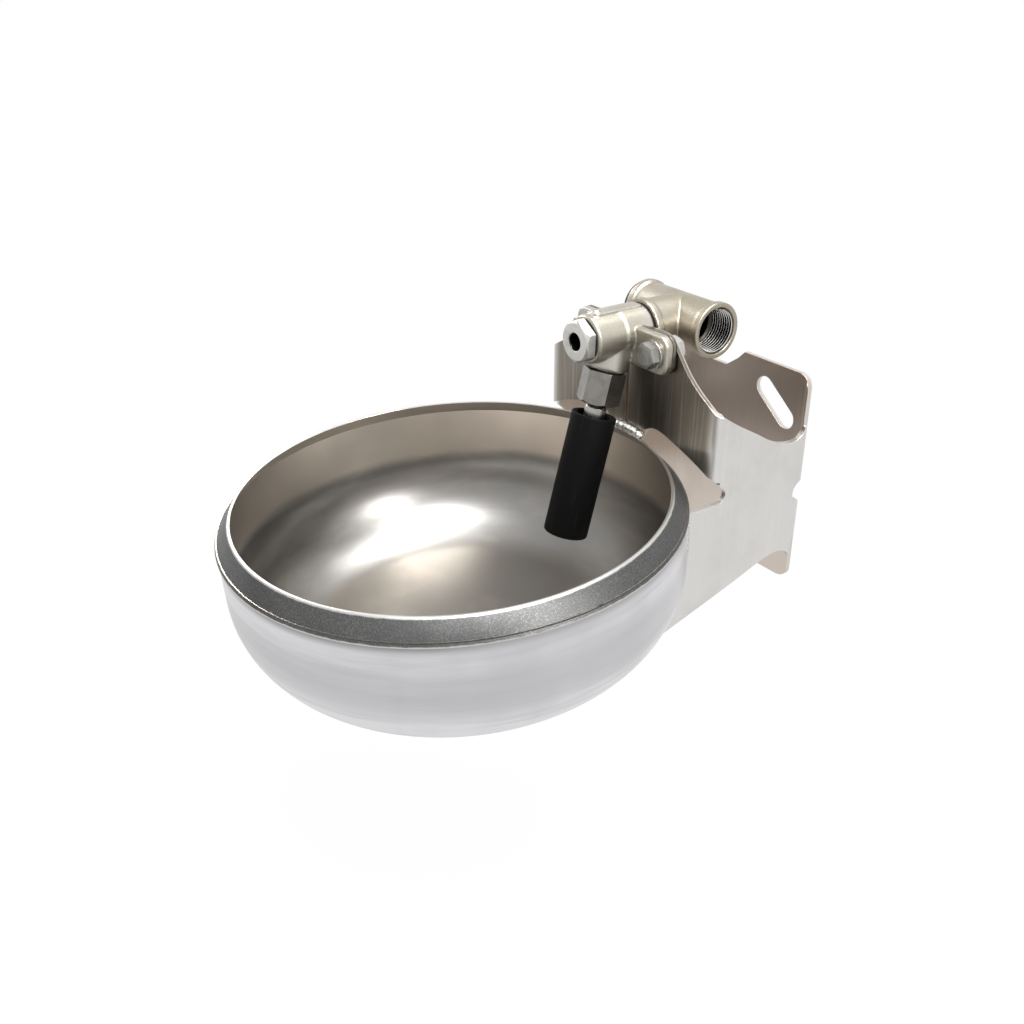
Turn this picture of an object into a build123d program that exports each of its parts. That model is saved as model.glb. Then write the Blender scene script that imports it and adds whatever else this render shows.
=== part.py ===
from build123d import *
import math
import os

os.makedirs("parts", exist_ok=True)

# Row frame, millimetres: the wall is the plane Y = 0, the bowl stands out towards -Y, Z is up.

# Bowl and rim, in the bowl's own axes: r from its axis, z down from the rim's top edge
RIM_CENTRE_Y = -195.0
RIM_CENTRE_Z = 19.0
BOWL_LEAN = 4.0  # degrees, front edge down
RIM_TOP_R = 118.0
RIM_LOW_R = 126.3
RIM_HEIGHT = 10.5
RIM_SHEET = 2.0
WALL_TOP_R = 125.4
WALL_TOP_Z = -8.6
WALL_LOW_R = 125.3
CORNER_R = 53.4
CORNER_Z = -38.0
DISH_R = 530.0
BOWL_SHEET = 2.0

# Bracket, one folded sheet
SHEET = 3.0
HALF_W = 74.0
BEND_R = 5.0
WING_Y = -74.0
EAR_TOP = 65.0
EAR_X = 72.5
EAR_CORNER = 9.0
DIP_X = 21.0
DIP_CORNER = 4.0
NOTCH_X = 7.0
NOTCH_Z = 53.5
SLOT_X = 48.0
SLOT_Z = 42.0
SLOT_W = 12.5
SLOT_LONG = 35.0
SLOT_TURN = 38.0
ARM_TOP = 5.5
SEAM_GAP = 2.0
YOKE_R = 14.6
ARM_GAP = 0.3
BEAD_X = 74.6
BEAD_R = 1.6
BEAD_DROPS = (-20, -32, -44, -56, -68)

# Valve housing, axis along Y
HOUSING_Z = 86.5
HOUSING_R = 13.5
HOUSING_FRONT = -107.0
COLLAR_R = 14.0
FLANGE_FRONT = -82.0
FLANGE_T = 5.0
FLANGE_W = 78.0
FLANGE_Z0 = 70.5
FLANGE_Z1 = 92.5
SPACER_T = 2.0
GASKET_T = 1.0
NIPPLE_R = 13.1
NIPPLE_END = -53.0
INLET_R = 8.0

# Spout, axis leaning forward; s is the distance down it from the housing's axis
SPOUT_Y = -86.0
SPOUT_LEAN = 15.0
BOSS_R = 12.5
BOSS_END = 20.5
SPIGOT_R = 8.95
SPIGOT_END = 30.5
CHAMBER_R = 7.5
SEAT_BORE_R = 6.5
NUT_TOP = 21.3
NUT_END = 40.2
NUT_AF = 22.0
PIVOT = 35.0
BALL_R = 6.9
RING_IN_R = 7.2
RING_OUT_R = 8.1
SOCKET_R = 8.4
NECK_R = 6.2
SLEEVE_TOP = 47.3
SLEEVE_END = 120.3
SLEEVE_R = 13.0
SLEEVE_BORE_R = 10.0

# Tee, run along X
TEE_Y = -37.0
TEE_ARM = 30.5
TEE_R = 15.0
TEE_BEAD_R = 16.2
THREAD_R = 13.22
THREAD_DEPTH = 17.0
TEE_BORE_R = 11.0
CAP_H = 3.6
TEE_MOUTH_Y = TEE_Y - TEE_ARM
COLLAR_END = TEE_MOUTH_Y - 1.0

# Fixings
BOLT_X = 28.5
BOLT_Z = 81.5
BOLT_R = 4.0
HEAD_AF = 13.0
HEAD_H = 5.3
WASHER_R = 8.2
WASHER_T = 1.6
NUT_H = 6.5
BOLT_END = -61.5

# Front plug and flow screw, along Y
PLUG_AF = 22.0
PLUG_FRONT = -114.0
PLUG_BACK = -108.0
PLUG_END = -98.0
SCREW_FRONT = -107.4


def polar(radius, degrees):
    return (radius * math.cos(math.radians(degrees)), radius * math.sin(math.radians(degrees)))


lean_s, lean_c = polar(1.0, BOWL_LEAN)[1], polar(1.0, BOWL_LEAN)[0]
spout_s, spout_c = polar(1.0, SPOUT_LEAN)[1], polar(1.0, SPOUT_LEAN)[0]

bowl_origin = (0, RIM_CENTRE_Y, RIM_CENTRE_Z)
bowl_profile = Plane(origin=bowl_origin, x_dir=(1, 0, 0), z_dir=(0, -lean_c, -lean_s))
bowl_axis = Axis(bowl_origin, (0, -lean_s, lean_c))

spout_origin = (0, SPOUT_Y, HOUSING_Z)
spout_profile = Plane(origin=spout_origin, x_dir=(1, 0, 0), z_dir=(0, -spout_c, spout_s))
spout_axis = Axis(spout_origin, (0, spout_s, spout_c))

housing_profile = Plane(origin=(0, 0, HOUSING_Z), x_dir=(0, 1, 0), z_dir=(1, 0, 0))
housing_axis = Axis((0, 0, HOUSING_Z), (0, 1, 0))
tee_profile = Plane(origin=(0, TEE_Y, HOUSING_Z), x_dir=(1, 0, 0), z_dir=(0, -1, 0))
tee_axis = Axis((0, TEE_Y, HOUSING_Z), (1, 0, 0))


def spout_plane(s):
    """Plane square to the spout's axis, s below the housing's axis, facing up the spout."""
    origin = (0, SPOUT_Y - s * spout_s, HOUSING_Z - s * spout_c)
    return Plane(origin=origin, x_dir=(1, 0, 0), z_dir=(0, spout_s, spout_c))


def front_plane(y):
    """Plane facing -Y at the given y, with X to the right and Z up."""
    return Plane(origin=(0, y, 0), x_dir=(1, 0, 0), z_dir=(0, -1, 0))


def side_plane(x):
    """Plane facing +X at the given x, with Y to the right and Z up."""
    return Plane(origin=(x, 0, 0), x_dir=(0, 1, 0), z_dir=(1, 0, 0))


def corner_point(centre_r, radius, degrees):
    dx, dz = polar(radius, degrees)
    return (centre_r + dx, CORNER_Z + dz)


# The corner arc runs from the wall into a wide dish, tangent to both
corner_centre = WALL_LOW_R - CORNER_R
dish_centre_z = CORNER_Z + math.sqrt((DISH_R - CORNER_R) ** 2 - corner_centre ** 2)
dish_angle = -90.0 + math.degrees(math.asin(corner_centre / (DISH_R - CORNER_R)))


def dish_point(radius, share):
    angle = math.radians(-90.0 + (dish_angle + 90.0) * share)
    return (radius * math.cos(angle), dish_centre_z + radius * math.sin(angle))


with BuildPart() as bowl:
    with BuildSketch(bowl_profile):
        with BuildLine():
            inner_r = CORNER_R - BOWL_SHEET
            Polyline(corner_point(corner_centre, CORNER_R, 0), (WALL_TOP_R, WALL_TOP_Z),
                     (WALL_TOP_R - BOWL_SHEET, WALL_TOP_Z), corner_point(corner_centre, inner_r, 0))
            ThreePointArc(corner_point(corner_centre, inner_r, 0),
                          corner_point(corner_centre, inner_r, dish_angle / 2),
                          corner_point(corner_centre, inner_r, dish_angle))
            ThreePointArc(dish_point(DISH_R - BOWL_SHEET, 1.0), dish_point(DISH_R - BOWL_SHEET, 0.5),
                          dish_point(DISH_R - BOWL_SHEET, 0.0))
            Line(dish_point(DISH_R - BOWL_SHEET, 0.0), dish_point(DISH_R, 0.0))
            ThreePointArc(dish_point(DISH_R, 0.0), dish_point(DISH_R, 0.5), dish_point(DISH_R, 1.0))
            ThreePointArc(corner_point(corner_centre, CORNER_R, dish_angle),
                          corner_point(corner_centre, CORNER_R, dish_angle / 2),
                          corner_point(corner_centre, CORNER_R, 0))
        make_face()
    revolve(axis=bowl_axis)
bowl.part.label = "bowl"
export_step(bowl.part, "parts/bowl.step")

with BuildPart() as rim_ring:
    with BuildSketch(bowl_profile):
        with BuildLine():
            Polyline((RIM_TOP_R, -0.3), (RIM_LOW_R, -RIM_HEIGHT), (RIM_LOW_R - 0.3, -RIM_HEIGHT - 0.9),
                     (WALL_TOP_R, -RIM_HEIGHT - 0.9), (WALL_TOP_R, WALL_TOP_Z),
                     (WALL_TOP_R - BOWL_SHEET, WALL_TOP_Z), (RIM_TOP_R - RIM_SHEET + 0.3, -0.3),
                     (RIM_TOP_R - RIM_SHEET + 0.6, 0), (RIM_TOP_R - 0.3, 0), close=True)
        make_face()
    revolve(axis=bowl_axis)
rim_ring.part.label = "rim_ring"
export_step(rim_ring.part, "parts/rim_ring.step")

with BuildPart() as bracket:
    # Back panel and side plates, straight up to where the wings begin
    with BuildSketch(Plane.XY.offset(-EAR_TOP - 1)):
        with BuildLine():
            Polyline((-HALF_W, -135), (-HALF_W, 0), (HALF_W, 0), (HALF_W, -135),
                     (HALF_W - SHEET, -135), (HALF_W - SHEET, -SHEET), (-HALF_W + SHEET, -SHEET),
                     (-HALF_W + SHEET, -135), close=True)
        face_low = make_face()
        fillet(face_low.vertices().filter_by_position(Axis.Y, -0.1, 0.1), BEND_R)
    extrude(amount=EAR_TOP + 1 + 12)
    # The same sheet with both wings folded in front, meeting at the seam
    with BuildSketch(Plane.XY.offset(12)):
        RectangleRounded(2 * HALF_W, -WING_Y, BEND_R, align=(Align.CENTER, Align.MAX))
        with Locations((0, -SHEET)):
            RectangleRounded(2 * (HALF_W - SHEET), -WING_Y - 2 * SHEET, BEND_R - SHEET,
                             align=(Align.CENTER, Align.MAX), mode=Mode.SUBTRACT)
        with Locations((0, WING_Y)):
            Rectangle(SEAM_GAP, 4 * SHEET, mode=Mode.SUBTRACT)
    extrude(amount=90)
    # Back panel outline: ears with a dip between them, above and below
    for z_sign in (1, -1):
        with BuildSketch(front_plane(-BEND_R)):
            with BuildLine():
                Polyline((-80, z_sign * 34.5), (-EAR_X, z_sign * 36), (-EAR_X, z_sign * EAR_TOP),
                         (-DIP_X, z_sign * EAR_TOP), (-16, z_sign * 60), (-NOTCH_X, z_sign * NOTCH_Z),
                         (NOTCH_X, z_sign * NOTCH_Z), (16, z_sign * 60), (DIP_X, z_sign * EAR_TOP),
                         (EAR_X, z_sign * EAR_TOP), (EAR_X, z_sign * 36), (80, z_sign * 34.5),
                         (80, z_sign * 110), (-80, z_sign * 110), close=True)
            ears = make_face()
            tips = ears.vertices().filter_by(lambda v: abs(v.Y) == EAR_TOP)
            fillet(tips.filter_by(lambda v: abs(v.X) == EAR_X), EAR_CORNER)
            fillet(tips.filter_by(lambda v: abs(v.X) == DIP_X), DIP_CORNER)
        extrude(amount=-BEND_R - 1, mode=Mode.SUBTRACT)
    # Side plate outline, top and bottom
    with BuildSketch(side_plane(-80)):
        with BuildLine():
            top_edge = Spline((-69.5, 56.6), (-58.4, 49.4), (-42, 40), (-29.3, 32.8), (-16, 29.2),
                              (-8.6, 29.9), (-4.5, 34.5))
            Polyline(top_edge @ 1, (-4.5, 110), (-69.5, 110), top_edge @ 0)
        make_face()
        with BuildLine():
            low_edge = Spline((-135, -76), (-103, -66), (-66.8, -55), (-42, -47), (-25, -41.6),
                              (-14, -41), (-4.5, -48))
            Polyline(low_edge @ 1, (-4.5, -70), (-135, -90), low_edge @ 0)
        make_face()
    extrude(amount=160, mode=Mode.SUBTRACT)
    # Clearance for the rim below each front bend
    with BuildSketch(side_plane(-80)):
        with BuildLine():
            Polyline((-140, ARM_TOP), (-69, ARM_TOP))
            ThreePointArc((-69, ARM_TOP), (-64.2, 9.6), (-66.0, 13.9))
            Polyline((-66.0, 13.9), (-75, 22.0), (-140, 22.0), (-140, ARM_TOP))
        make_face()
    cut_out = extrude(amount=14, mode=Mode.PRIVATE)
    add(cut_out, mode=Mode.SUBTRACT)
    add(cut_out.mirror(Plane.YZ), mode=Mode.SUBTRACT)
    # Wing outline: sloping shoulders, arched lower edge with a foot at the seam
    with BuildSketch(front_plane(WING_Y - 1)):
        for x_sign in (1, -1):
            with BuildLine():
                shoulder = Spline((x_sign * 80, 52), (x_sign * 66, 61), (x_sign * 58, 65.8),
                                  (x_sign * 49.4, 72.4), (x_sign * 40.7, 81.9), (x_sign * 33.6, 89.2),
                                  (x_sign * 27.5, 91.5))
                Polyline(shoulder @ 1, (0, 91.5), (0, 110), (x_sign * 80, 110), shoulder @ 0)
            make_face()
            with BuildLine():
                arch = Spline((x_sign * 80, 15.0), (x_sign * 69, 20.8), (x_sign * 54, 26.9),
                              (x_sign * 35.5, 32.6), (x_sign * 24, 34.2), (x_sign * 18.5, 32.2),
                              (x_sign * 14, 25.2))
                Polyline(arch @ 1, (0, 25.2), (0, 10), (x_sign * 80, 10), arch @ 0)
            make_face()
        with Locations((0, HOUSING_Z)):
            Circle(YOKE_R)
        with Locations((-BOLT_X, BOLT_Z), (BOLT_X, BOLT_Z)):
            Circle(BOLT_R + 0.5)
    extrude(amount=-BEND_R - 1, mode=Mode.SUBTRACT)
    # A slanted wall slot in each of the four ears
    with BuildSketch(front_plane(-BEND_R)):
        for x_sign in (1, -1):
            for z_sign in (1, -1):
                turn = -SLOT_TURN * x_sign * z_sign
                with Locations(Location((x_sign * SLOT_X, z_sign * SLOT_Z, 0), (0, 0, turn))):
                    SlotOverall(SLOT_LONG, SLOT_W)
    extrude(amount=-BEND_R - 1, mode=Mode.SUBTRACT)
    # Relief hole across each back bend
    with BuildSketch(side_plane(-80)):
        with Locations((-1.5, -5)):
            Circle(7)
    relief = extrude(amount=14, mode=Mode.PRIVATE)
    add(relief, mode=Mode.SUBTRACT)
    add(relief.mirror(Plane.YZ), mode=Mode.SUBTRACT)
    # The arms' front edges follow the bowl
    with BuildSketch(bowl_profile):
        with BuildLine():
            Polyline((0, 60), (WALL_TOP_R + ARM_GAP, 60), corner_point(corner_centre, CORNER_R + ARM_GAP, 0))
            ThreePointArc(corner_point(corner_centre, CORNER_R + ARM_GAP, 0),
                          corner_point(corner_centre, CORNER_R + ARM_GAP, dish_angle / 2),
                          corner_point(corner_centre, CORNER_R + ARM_GAP, dish_angle))
            ThreePointArc(dish_point(DISH_R + ARM_GAP, 1.0), dish_point(DISH_R + ARM_GAP, 0.5),
                          dish_point(DISH_R + ARM_GAP, 0.0))
            Line(dish_point(DISH_R + ARM_GAP, 0.0), (0, 60))
        make_face()
    bowl_space = revolve(axis=bowl_axis, mode=Mode.PRIVATE)
    with BuildSketch(Plane.XY.offset(-80)):
        with Locations((0, -110)):
            Rectangle(160, 72)
    arm_zone = extrude(amount=90, mode=Mode.PRIVATE)
    add(bowl_space & arm_zone, mode=Mode.SUBTRACT)
bracket.part.label = "bracket"
export_step(bracket.part, "parts/bracket.step")

with BuildPart() as rear_bead:
    # Bead where the wings' feet meet the rim
    with BuildLine():
        weld_path = Spline((-9.0, -76.0, 27.2), (-4.0, -75.6, 28.4), (1.5, -75.4, 28.2), (7.0, -75.5, 28.6),
                           (14.5, -75.8, 27.0))
    with BuildSketch(Plane(origin=weld_path @ 0, z_dir=weld_path % 0)):
        Circle(2.8)
    sweep(path=weld_path)
    add(rim_ring.part, mode=Mode.SUBTRACT)
    add(bracket.part, mode=Mode.SUBTRACT)

with BuildPart() as rear_weld:
    add(rear_bead.solids().sort_by(SortBy.VOLUME)[-1])
rear_weld.part.label = "rear_weld"
export_step(rear_weld.part, "parts/rear_weld.step")


def bowl_edge_point(x, drop):
    """Point on the bowl's outer face at a given x and depth below the rim, on the wall side."""
    if drop > CORNER_Z:
        radius = WALL_LOW_R + (WALL_TOP_R - WALL_LOW_R) * (drop - CORNER_Z) / (WALL_TOP_Z - CORNER_Z)
    else:
        radius = corner_centre + math.sqrt(CORNER_R ** 2 - (drop - CORNER_Z) ** 2)
    out = math.sqrt(radius ** 2 - x ** 2)
    return (x, RIM_CENTRE_Y + out * lean_c - drop * lean_s, RIM_CENTRE_Z + out * lean_s + drop * lean_c)


with BuildPart() as side_beads:
    # One fillet bead down the outside of each arm, where it meets the bowl
    for x_sign in (1, -1):
        with BuildLine():
            bead_path = Spline([bowl_edge_point(x_sign * BEAD_X, drop) for drop in BEAD_DROPS])
        with BuildSketch(Plane(origin=bead_path @ 0, z_dir=bead_path % 0)):
            Circle(BEAD_R)
        sweep(path=bead_path)
    add(bowl.part, mode=Mode.SUBTRACT)
    add(bracket.part, mode=Mode.SUBTRACT)

with BuildPart() as side_welds:
    add(side_beads.solids().sort_by(SortBy.VOLUME)[-2:])
side_welds.part.label = "side_welds"
export_step(side_welds.part, "parts/side_welds.step")

with BuildPart() as valve_housing:
    with BuildSketch(housing_profile):
        with BuildLine():
            Polyline((HOUSING_FRONT, 0), (HOUSING_FRONT, HOUSING_R - 1), (HOUSING_FRONT + 1, HOUSING_R),
                     (FLANGE_FRONT - 6, HOUSING_R), (FLANGE_FRONT - 4, COLLAR_R),
                     (COLLAR_END, COLLAR_R), (COLLAR_END, NIPPLE_R), (NIPPLE_END - 1, NIPPLE_R),
                     (NIPPLE_END, NIPPLE_R - 1), (NIPPLE_END, 0), close=True)
        make_face()
    revolve(axis=housing_axis)
    # Bolting flange with two ears
    with BuildSketch(front_plane(FLANGE_FRONT)):
        with Locations((0, (FLANGE_Z0 + FLANGE_Z1) / 2)):
            RectangleRounded(FLANGE_W, FLANGE_Z1 - FLANGE_Z0, 6.5)
    flange = extrude(amount=-FLANGE_T)
    fillet(flange.edges().filter_by_position(Axis.Y, FLANGE_FRONT - 0.01, FLANGE_FRONT + 0.01)
           .filter_by(lambda edge: abs(edge.center().X) > 20), 1.3)
    # Spout boss, with the male spigot for the union nut
    with BuildSketch(spout_plane(BOSS_END)):
        Circle(BOSS_R)
    boss = extrude(amount=BOSS_END + 2)
    fillet(boss.faces().sort_by(spout_axis)[0].edges(), 2.4)
    with BuildSketch(spout_plane(SPIGOT_END)):
        Circle(SPIGOT_R)
    extrude(amount=SPIGOT_END - BOSS_END + 3)
    # Nothing of the boss stands behind the flange
    with BuildSketch(front_plane(FLANGE_FRONT + FLANGE_T)):
        with Locations((0, HOUSING_Z - COLLAR_R)):
            Rectangle(40, 20, align=(Align.CENTER, Align.MAX))
    extrude(amount=-12, mode=Mode.SUBTRACT)
    # Raised name pad along the top, with a small casting nub
    with BuildSketch(Plane.XY.offset(HOUSING_Z + 8)):
        with Locations((0, -86.5)):
            RectangleRounded(9, 33, 2)
    extrude(amount=6.6)
    with BuildSketch(Plane.XY.offset(HOUSING_Z + 8)):
        with Locations((0, -99.5)):
            Circle(2.4)
    extrude(amount=7.8)
    # Waterways: inlet bore, front thread, valve chamber, seat bore
    with BuildSketch(housing_profile):
        with BuildLine():
            Polyline((NIPPLE_END, 0), (NIPPLE_END, INLET_R + 2), (NIPPLE_END - 3, INLET_R + 2),
                     (NIPPLE_END - 3, INLET_R), (-97, INLET_R), (-97, 10), (HOUSING_FRONT, 10),
                     (HOUSING_FRONT, 0), close=True)
        make_face()
    revolve(axis=housing_axis, mode=Mode.SUBTRACT)
    with BuildSketch(spout_profile):
        with BuildLine():
            Polyline((0, 8), (CHAMBER_R, 8), (CHAMBER_R, -13), (SEAT_BORE_R, -13),
                     (SEAT_BORE_R, -SPIGOT_END - 1), (0, -SPIGOT_END - 1), close=True)
        make_face()
    revolve(axis=spout_axis, mode=Mode.SUBTRACT)
    with BuildSketch(front_plane(FLANGE_FRONT)):
        with Locations((-BOLT_X, BOLT_Z), (BOLT_X, BOLT_Z)):
            Circle(BOLT_R + 0.5)
    extrude(amount=-FLANGE_T, mode=Mode.SUBTRACT)
valve_housing.part.label = "valve_housing"
export_step(valve_housing.part, "parts/valve_housing.step")


def flange_plate(y, thickness, margin):
    """A plate of the flange's outline, open at the top for the collar."""
    with BuildPart() as plate:
        with BuildSketch(front_plane(y)):
            with Locations((0, (FLANGE_Z0 + FLANGE_Z1) / 2)):
                RectangleRounded(FLANGE_W - 2 * margin, FLANGE_Z1 - FLANGE_Z0 - 2 * margin, 6)
            with Locations((0, HOUSING_Z)):
                Circle(COLLAR_R + 0.2, mode=Mode.SUBTRACT)
            with Locations((-BOLT_X, BOLT_Z), (BOLT_X, BOLT_Z)):
                Circle(BOLT_R + 0.5, mode=Mode.SUBTRACT)
        extrude(amount=-thickness)
    return plate.part


with BuildPart() as flange_spacer:
    add(flange_plate(FLANGE_FRONT + FLANGE_T, SPACER_T, 0))
flange_spacer.part.label = "flange_spacer"
export_step(flange_spacer.part, "parts/flange_spacer.step")

with BuildPart() as flange_gasket:
    add(flange_plate(WING_Y - GASKET_T, GASKET_T, 0.6))
flange_gasket.part.label = "flange_gasket"
export_step(flange_gasket.part, "parts/flange_gasket.step")

bolt_places = [(-BOLT_X, BOLT_Z), (BOLT_X, BOLT_Z)]
washer_front = FLANGE_FRONT - WASHER_T
nut_front = WING_Y + SHEET

with BuildPart() as flange_bolts:
    with BuildSketch(front_plane(washer_front)):
        with Locations(*bolt_places):
            RegularPolygon(HEAD_AF / 2, 6, major_radius=False)
    extrude(amount=HEAD_H)
    with BuildSketch(front_plane(washer_front)):
        with Locations(*bolt_places):
            Circle(BOLT_R)
    extrude(amount=washer_front - BOLT_END)
    circles = flange_bolts.edges().filter_by(GeomType.CIRCLE)
    tips = circles.filter_by_position(Axis.Y, BOLT_END - 0.1, BOLT_END + 0.1)
    chamfer(tips, 0.8)
flange_bolts.part.label = "flange_bolts"
export_step(flange_bolts.part, "parts/flange_bolts.step")

with BuildPart() as flange_washers:
    with BuildSketch(front_plane(washer_front)):
        with Locations(*bolt_places):
            Circle(WASHER_R)
            Circle(BOLT_R + 0.2, mode=Mode.SUBTRACT)
    extrude(amount=-WASHER_T)
flange_washers.part.label = "flange_washers"
export_step(flange_washers.part, "parts/flange_washers.step")

with BuildPart() as flange_nuts:
    with BuildSketch(front_plane(nut_front)):
        with Locations(*bolt_places):
            RegularPolygon(HEAD_AF / 2, 6, major_radius=False)
            Circle(BOLT_R, mode=Mode.SUBTRACT)
    extrude(amount=-NUT_H)
flange_nuts.part.label = "flange_nuts"
export_step(flange_nuts.part, "parts/flange_nuts.step")

with BuildPart() as tee:
    with BuildSketch(tee_profile):
        with BuildLine():
            Polyline((-TEE_ARM, 0), (-TEE_ARM, TEE_BEAD_R), (-TEE_ARM + 4, TEE_BEAD_R),
                     (-TEE_ARM + 5.2, TEE_R), (TEE_ARM - 5.2, TEE_R), (TEE_ARM - 4, TEE_BEAD_R),
                     (TEE_ARM, TEE_BEAD_R), (TEE_ARM, 0), close=True)
        make_face()
    revolve(axis=tee_axis)
    with BuildSketch(housing_profile):
        with BuildLine():
            Polyline((TEE_Y, 0), (TEE_Y, TEE_R), (TEE_MOUTH_Y + 5.2, TEE_R),
                     (TEE_MOUTH_Y + 4, TEE_BEAD_R), (TEE_MOUTH_Y, TEE_BEAD_R),
                     (TEE_MOUTH_Y, 0), close=True)
        make_face()
    revolve(axis=housing_axis)
    with BuildSketch(tee_profile):
        with BuildLine():
            Polyline((-TEE_ARM, 0), (-TEE_ARM, THREAD_R), (-TEE_ARM + THREAD_DEPTH, THREAD_R),
                     (-TEE_ARM + THREAD_DEPTH + 1.5, TEE_BORE_R), (TEE_ARM - THREAD_DEPTH - 1.5, TEE_BORE_R),
                     (TEE_ARM - THREAD_DEPTH, THREAD_R), (TEE_ARM, THREAD_R), (TEE_ARM, 0), close=True)
        make_face()
    revolve(axis=tee_axis, mode=Mode.SUBTRACT)
    with BuildSketch(housing_profile):
        with BuildLine():
            Polyline((TEE_Y, 0), (TEE_Y, TEE_BORE_R), (TEE_MOUTH_Y + THREAD_DEPTH + 1.5, TEE_BORE_R),
                     (TEE_MOUTH_Y + THREAD_DEPTH, THREAD_R), (TEE_MOUTH_Y, THREAD_R),
                     (TEE_MOUTH_Y, 0), close=True)
        make_face()
    revolve(axis=housing_axis, mode=Mode.SUBTRACT)
tee.part.label = "tee"
export_step(tee.part, "parts/tee.step")

with BuildPart() as tee_seal:
    with BuildSketch(front_plane(COLLAR_END)):
        with Locations((0, HOUSING_Z)):
            Circle(COLLAR_R)
            Circle(NIPPLE_R + 0.1, mode=Mode.SUBTRACT)
    extrude(amount=-1)
tee_seal.part.label = "tee_seal"
export_step(tee_seal.part, "parts/tee_seal.step")

with BuildPart() as strainer:
    with BuildSketch(housing_profile):
        with BuildLine():
            Polyline((NIPPLE_END, 5.6), (NIPPLE_END, INLET_R + 1.8), (NIPPLE_END - 2, INLET_R + 1.8),
                     (NIPPLE_END - 2, 6.6), (-75, 6.6), (-75, 0), (-74, 0), (-74, 5.6), close=True)
        make_face()
    revolve(axis=housing_axis)
    with BuildSketch(Plane.XY.offset(HOUSING_Z)):
        with Locations((0, -60), (0, -64.5), (0, -69)):
            SlotOverall(9, 2.4)
    extrude(amount=10, both=True, mode=Mode.SUBTRACT)
strainer.part.label = "strainer"
export_step(strainer.part, "parts/strainer.step")

with BuildPart() as tee_plug:
    with BuildSketch(tee_profile):
        with BuildLine():
            Polyline((-TEE_ARM - CAP_H, 0), (-TEE_ARM - CAP_H, 13.6), (-TEE_ARM - CAP_H + 0.8, 14.4),
                     (-TEE_ARM - 1, 14.4), (-TEE_ARM - 1, NIPPLE_R), (-TEE_ARM + 12, NIPPLE_R),
                     (-TEE_ARM + 12, 10.5), (-TEE_ARM + 2, 10.5), (-TEE_ARM + 2, 0), close=True)
        make_face()
    revolve(axis=tee_axis)
    with BuildSketch(side_plane(-TEE_ARM - CAP_H)):
        with Locations((TEE_Y, HOUSING_Z)):
            RegularPolygon(5, 6, major_radius=False)
    extrude(amount=3.2, mode=Mode.SUBTRACT)
tee_plug.part.label = "tee_plug"
export_step(tee_plug.part, "parts/tee_plug.step")

with BuildPart() as tee_plug_seal:
    with BuildSketch(side_plane(-TEE_ARM - 1)):
        with Locations((TEE_Y, HOUSING_Z)):
            Circle(15)
            Circle(NIPPLE_R + 0.1, mode=Mode.SUBTRACT)
    extrude(amount=1)
tee_plug_seal.part.label = "tee_plug_seal"
export_step(tee_plug_seal.part, "parts/tee_plug_seal.step")

with BuildPart() as front_plug:
    with BuildSketch(front_plane(PLUG_BACK)):
        with Locations((0, HOUSING_Z)):
            RegularPolygon(PLUG_AF / 2, 6, major_radius=False, rotation=28)
    extrude(amount=PLUG_BACK - PLUG_FRONT)
    with BuildSketch(housing_profile):
        with BuildLine():
            Polyline((PLUG_FRONT, 0), (PLUG_FRONT, 10.4), (-111.6, 12.8), (PLUG_BACK, 12.8),
                     (PLUG_BACK, 9.9), (PLUG_END, 9.9), (PLUG_END, 0), close=True)
        make_face()
    revolve(axis=housing_axis, mode=Mode.INTERSECT)
    with BuildSketch(front_plane(PLUG_BACK)):
        with Locations((0, HOUSING_Z)):
            Circle(9.9)
    extrude(amount=PLUG_BACK - PLUG_END)
    with BuildSketch(housing_profile):
        with BuildLine():
            Polyline((PLUG_FRONT, 0), (PLUG_FRONT, 5.35), (-113.4, 4.75), (-104, 4.75), (-104, 3.05),
                     (PLUG_END, 3.05), (PLUG_END, 0), close=True)
        make_face()
    revolve(axis=housing_axis, mode=Mode.SUBTRACT)
front_plug.part.label = "front_plug"
export_step(front_plug.part, "parts/front_plug.step")

with BuildPart() as front_seal:
    with BuildSketch(front_plane(HOUSING_FRONT - 1)):
        with Locations((0, HOUSING_Z)):
            Circle(10.9)
            Circle(10, mode=Mode.SUBTRACT)
    extrude(amount=-1)
front_seal.part.label = "front_seal"
export_step(front_seal.part, "parts/front_seal.step")

with BuildPart() as flow_screw:
    with BuildSketch(housing_profile):
        with BuildLine():
            Polyline((SCREW_FRONT, 0), (SCREW_FRONT, 4.3), (-107, 4.7), (-104.4, 4.7), (-104.4, 3.0),
                     (-94, 3.0), (-94, 0), close=True)
        make_face()
    revolve(axis=housing_axis)
    with BuildSketch(front_plane(SCREW_FRONT)):
        with Locations((0, HOUSING_Z)):
            Rectangle(10, 1.2)
    extrude(amount=-1.6, mode=Mode.SUBTRACT)
    # Half the tip is cut away, so a half turn opens or shuts the way through
    with BuildSketch(front_plane(-97)):
        with Locations((0, HOUSING_Z - 2.2)):
            Rectangle(8, 4)
    extrude(amount=-5, mode=Mode.SUBTRACT)
flow_screw.part.label = "flow_screw"
export_step(flow_screw.part, "parts/flow_screw.step")

with BuildPart() as valve_seat:
    with BuildSketch(spout_profile):
        with BuildLine():
            Polyline((3.5, -12), (4.4, -12), (4.8, -13.2), (SEAT_BORE_R, -13.2), (SEAT_BORE_R, -22),
                     (3.5, -22), close=True)
        make_face()
    revolve(axis=spout_axis)
valve_seat.part.label = "valve_seat"
export_step(valve_seat.part, "parts/valve_seat.step")

with BuildPart() as stem_seal:
    with BuildSketch(spout_profile):
        with BuildLine():
            Polyline((1.6, -9), (6.0, -9), (6.0, -11.9), (1.6, -11.9), close=True)
        make_face()
    revolve(axis=spout_axis)
stem_seal.part.label = "stem_seal"
export_step(stem_seal.part, "parts/stem_seal.step")

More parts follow.
